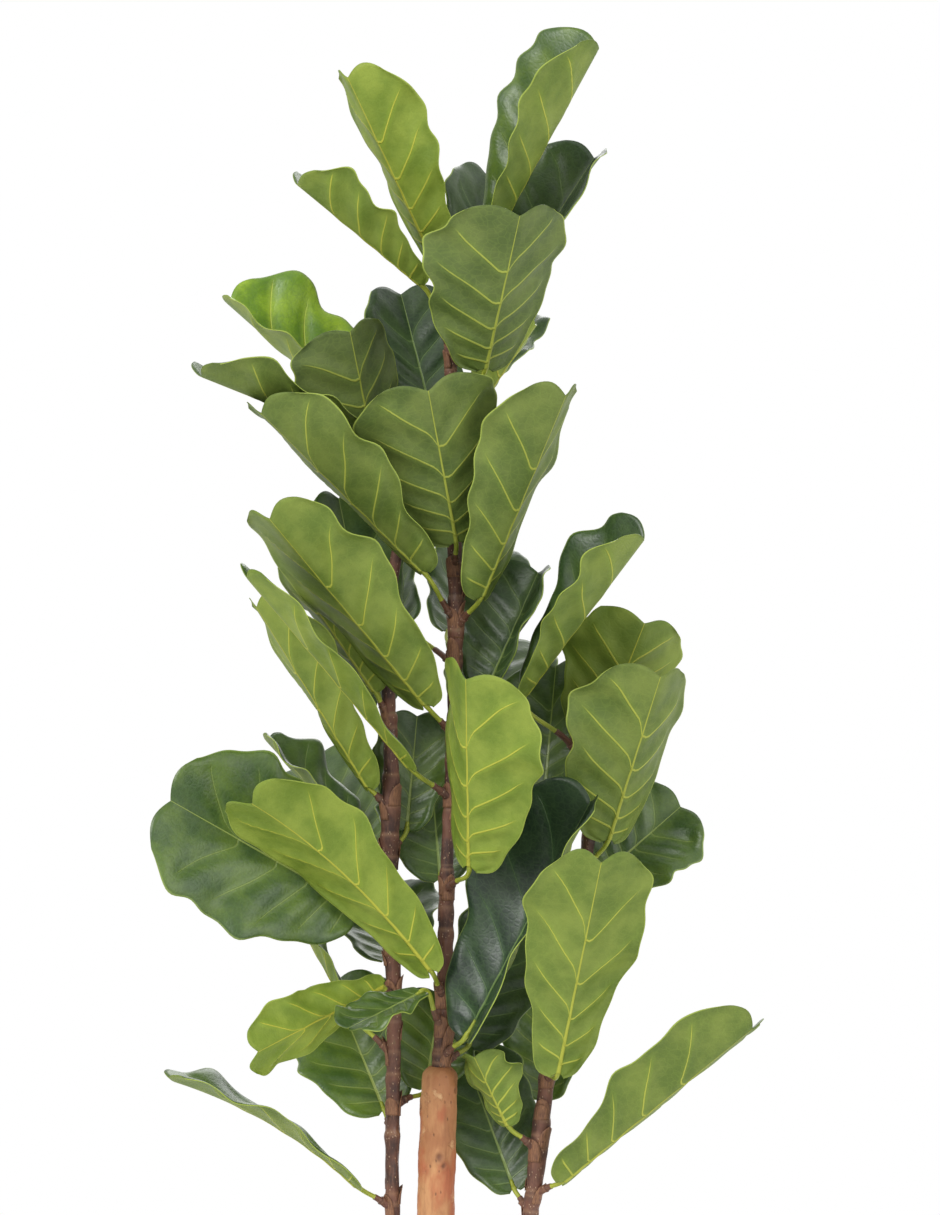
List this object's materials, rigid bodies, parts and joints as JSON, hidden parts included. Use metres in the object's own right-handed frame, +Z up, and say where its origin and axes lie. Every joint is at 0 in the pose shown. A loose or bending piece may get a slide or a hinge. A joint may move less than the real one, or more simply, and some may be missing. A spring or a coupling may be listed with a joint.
{
  "type": "potted fiddle leaf fig",
  "caption": "Tall fiddle leaf fig with broad veined leaves on a wooden trunk and two side stems, standing in a plain round pot of soil.",
  "frame": {"origin": "centre of the pot's flat underside", "axes": "+Z up the plant, the side that faces the viewer is -Y, +X to the viewer's right"},
  "size_m": [0.5748, 0.3684, 1.5268],
  "materials": {
    "charcoal_plastic": "fine matt, slightly soft sheen",
    "dark_soil": "rough dark soil with bark chips",
    "trunk_wood": "smooth tan wood with reddish patches and knots",
    "brown_bark": "dark reddish brown ringed bark, half gloss",
    "leaf_green": "dark green soft gloss above, matt light yellow-green with raised yellow veins below"
  },
  "bodies": {
    "root": {"pot": "charcoal_plastic", "soil": "dark_soil", "trunk": "trunk_wood", "leader": "brown_bark", "left_stem": "brown_bark", "right_stem": "brown_bark", "leaf_01": "leaf_green", "leaf_02": "leaf_green", "leaf_03": "leaf_green", "leaf_04": "leaf_green", "leaf_05": "leaf_green", "leaf_06": "leaf_green", "leaf_07": "leaf_green", "leaf_08": "leaf_green", "leaf_09": "leaf_green", "leaf_10": "leaf_green", "leaf_11": "leaf_green", "leaf_12": "leaf_green", "leaf_13": "leaf_green", "leaf_14": "leaf_green", "leaf_15": "leaf_green", "leaf_16": "leaf_green", "leaf_17": "leaf_green", "leaf_18": "leaf_green", "leaf_19": "leaf_green", "leaf_20": "leaf_green", "leaf_21": "leaf_green", "leaf_22": "leaf_green", "leaf_23": "leaf_green", "leaf_24": "leaf_green", "leaf_25": "leaf_green", "leaf_26": "leaf_green", "leaf_27": "leaf_green", "leaf_28": "leaf_green", "leaf_29": "leaf_green", "leaf_30": "leaf_green", "leaf_31": "leaf_green", "leaf_32": "leaf_green", "leaf_33": "leaf_green", "leaf_34": "leaf_green", "leaf_35": "leaf_green", "leaf_36": "leaf_green", "leaf_37": "leaf_green", "leaf_38": "leaf_green", "leaf_39": "leaf_green", "leaf_40": "leaf_green", "leaf_41": "leaf_green", "leaf_42": "leaf_green", "leaf_43": "leaf_green", "leaf_44": "leaf_green", "leaf_45": "leaf_green", "leaf_46": "leaf_green", "leaf_47": "leaf_green", "leaf_48": "leaf_green", "leaf_49": "leaf_green", "leaf_50": "leaf_green", "leaf_51": "leaf_green", "leaf_52": "leaf_green", "leaf_53": "leaf_green", "leaf_54": "leaf_green"}
  },
  "joints": []
}
